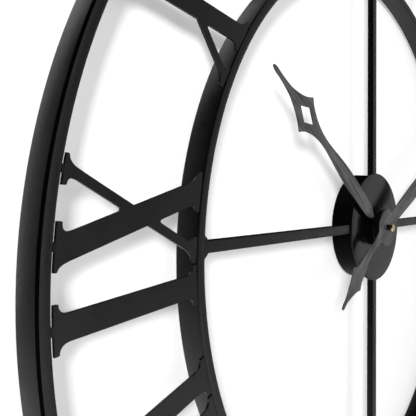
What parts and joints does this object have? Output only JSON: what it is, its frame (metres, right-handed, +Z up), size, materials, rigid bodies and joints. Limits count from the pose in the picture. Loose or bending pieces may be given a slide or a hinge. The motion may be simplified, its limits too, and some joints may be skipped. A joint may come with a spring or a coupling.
{
  "type": "wall clock",
  "caption": "Round open-frame wall clock: two metal rings with cut-out roman numerals, crossed spokes, drum hub and spade hands.",
  "frame": {"origin": "on the hand axis, in the plane of the wall that the pads rest on", "axes": "+Z up through twelve o'clock, +X towards three o'clock, +Y into the wall; the clock faces -Y"},
  "size_m": [0.8, 0.0458, 0.8],
  "materials": {
    "frame_black": "satin black powder coat",
    "hub_gloss": "smooth gloss black enamel",
    "hand_grey": "satin dark grey coat",
    "boss_black": "satin black",
    "brass": "turned, bright",
    "case_plastic": "moulded black",
    "rubber": "matt",
    "cell_jacket": "plain printed sleeve, no lettering",
    "steel": "bright",
    "board": "solder mask",
    "copper": "enamelled copper wire",
    "magnet": "sintered",
    "gear_plastic": "moulded white"
  },
  "bodies": {
    "frame": {"battery_contacts": "steel", "bushing_nut": "brass", "circuit_board": "board", "coil": "copper", "hub_disc": "hub_gloss", "hub_drum": "frame_black", "inner_ring": "frame_black", "movement_case_back": "case_plastic", "movement_case_front": "case_plastic", "numeral_01_i": "frame_black", "numeral_02_i": "frame_black", "numeral_03_i": "frame_black", "numeral_04_i": "frame_black", "numeral_05_v": "frame_black", "numeral_06_i": "frame_black", "numeral_06_v": "frame_black", "numeral_07_i": "frame_black", "numeral_07_v": "frame_black", "numeral_08_i": "frame_black", "numeral_08_v": "frame_black", "numeral_09_i": "frame_black", "numeral_09_x": "frame_black", "numeral_10_x": "frame_black", "numeral_11_i": "frame_black", "numeral_11_x": "frame_black", "numeral_12_i": "frame_black", "numeral_12_x": "frame_black", "numeral_welds": "frame_black", "outer_ring": "frame_black", "rubber_washer": "rubber", "spoke_bottom": "frame_black", "spoke_left": "frame_black", "spoke_right": "frame_black", "spoke_top": "frame_black", "spoke_welds": "frame_black", "stator": "steel", "threaded_bushing": "brass", "wall_pads": "rubber"},
    "hour": {"hour_wheel": "gear_plastic", "hour_hand": "hand_grey", "hour_boss": "boss_black"},
    "minute": {"minute_shaft": "steel", "minute_hand": "hand_grey", "minute_collet": "boss_black", "hand_nut": "brass"},
    "motion_wheel": {"minute_wheel": "gear_plastic"},
    "setting": {"setting_knob": "case_plastic"},
    "centre": {"centre_wheel": "gear_plastic"},
    "third": {"third_wheel": "gear_plastic"},
    "fourth": {"fourth_wheel": "gear_plastic"},
    "fifth": {"fifth_wheel": "gear_plastic"},
    "rotor_body": {"rotor": "magnet"},
    "cell": {"battery": "cell_jacket"}
  },
  "joints": [
    {"name": "minute_hand_turn", "type": "hinge", "parent": "frame", "child": "minute", "pos_m": [0, -0.015, 0], "axis": [0, 1, 0], "continuous": true},
    {"name": "hour_hand_turn", "type": "hinge", "parent": "frame", "child": "hour", "pos_m": [0, -0.015, 0], "axis": [0, 1, 0], "continuous": true},
    {"name": "motion_wheel_turn", "type": "hinge", "parent": "frame", "child": "motion_wheel", "pos_m": [-0.0075, -0.015, 0], "axis": [0, 1, 0], "continuous": true},
    {"name": "setting_knob_turn", "type": "hinge", "parent": "frame", "child": "setting", "pos_m": [-0.01455, -0.015, 0], "axis": [0, 1, 0], "continuous": true},
    {"name": "rotor_turn", "type": "hinge", "parent": "frame", "child": "rotor_body", "pos_m": [0.02121, -0.015, -0.00067], "axis": [0, 1, 0], "continuous": true},
    {"name": "fifth_wheel_turn", "type": "hinge", "parent": "frame", "child": "fifth", "pos_m": [0.01487, -0.015, 0.00164], "axis": [0, 1, 0], "continuous": true},
    {"name": "fourth_wheel_turn", "type": "hinge", "parent": "frame", "child": "fourth", "pos_m": [0.01243, -0.015, 0.00836], "axis": [0, 1, 0], "continuous": true},
    {"name": "third_wheel_turn", "type": "hinge", "parent": "frame", "child": "third", "pos_m": [0.00483, -0.015, 0.00836], "axis": [0, 1, 0], "continuous": true},
    {"name": "centre_wheel_turn", "type": "hinge", "parent": "frame", "child": "centre", "pos_m": [0, -0.015, 0], "axis": [0, 1, 0], "continuous": true},
    {"name": "battery_slide", "type": "slide", "parent": "frame", "child": "cell", "axis": [0, 1, 0], "range_m": [0, 0.03]}
  ],
  "couplings": [
    {"joint": "hour_hand_turn", "follows": "minute_hand_turn", "ratio": 0.083333},
    {"joint": "motion_wheel_turn", "follows": "minute_hand_turn", "ratio": -0.33333},
    {"joint": "setting_knob_turn", "follows": "minute_hand_turn", "ratio": 1.25},
    {"joint": "fifth_wheel_turn", "follows": "rotor_turn", "ratio": -0.2},
    {"joint": "fourth_wheel_turn", "follows": "rotor_turn", "ratio": 0.033333},
    {"joint": "third_wheel_turn", "follows": "rotor_turn", "ratio": -0.0044444},
    {"joint": "centre_wheel_turn", "follows": "rotor_turn", "ratio": 0.00055556}
  ]
}
